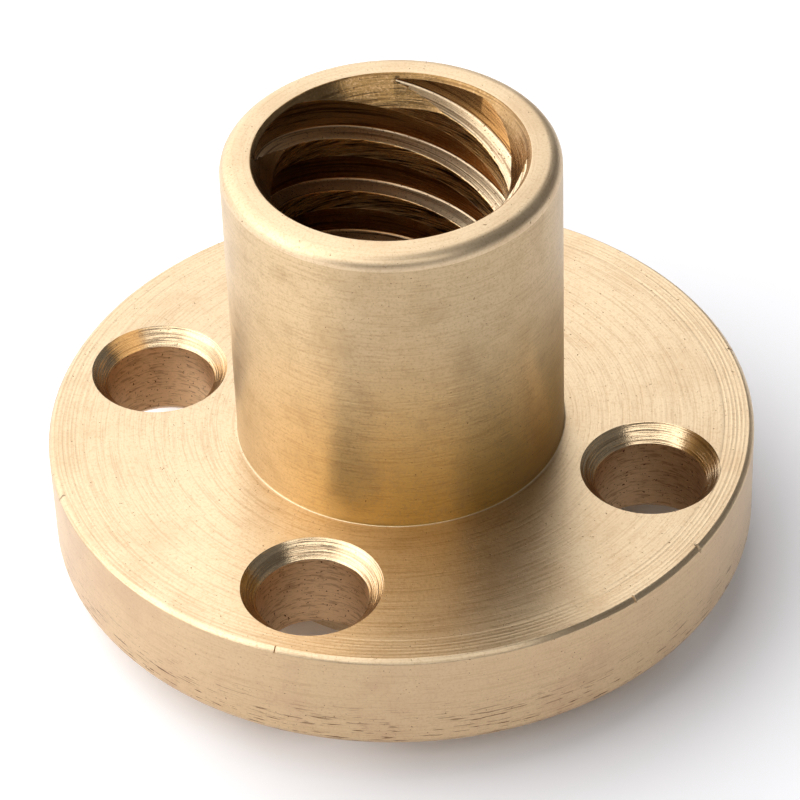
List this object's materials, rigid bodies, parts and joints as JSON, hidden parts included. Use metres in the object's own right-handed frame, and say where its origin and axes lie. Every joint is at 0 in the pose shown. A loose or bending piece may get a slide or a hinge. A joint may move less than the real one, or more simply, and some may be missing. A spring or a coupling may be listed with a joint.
{
  "type": "lead screw nut",
  "caption": "Flanged brass nut with a multi-start trapezoidal thread. It rides along a lead screw and carries what is bolted to its flange.",
  "frame": {"origin": "centre of the spigot's foot, the face that the nut stands on", "axes": "+Z along the thread axis, from the spigot to the open end of the hub. +X through one screw hole, +Y through the next"},
  "size_m": [0.022, 0.022, 0.0152],
  "materials": {
    "brass": "turned, satin, with fine tool marks"
  },
  "bodies": {
    "root": {"nut": "brass"}
  },
  "joints": []
}
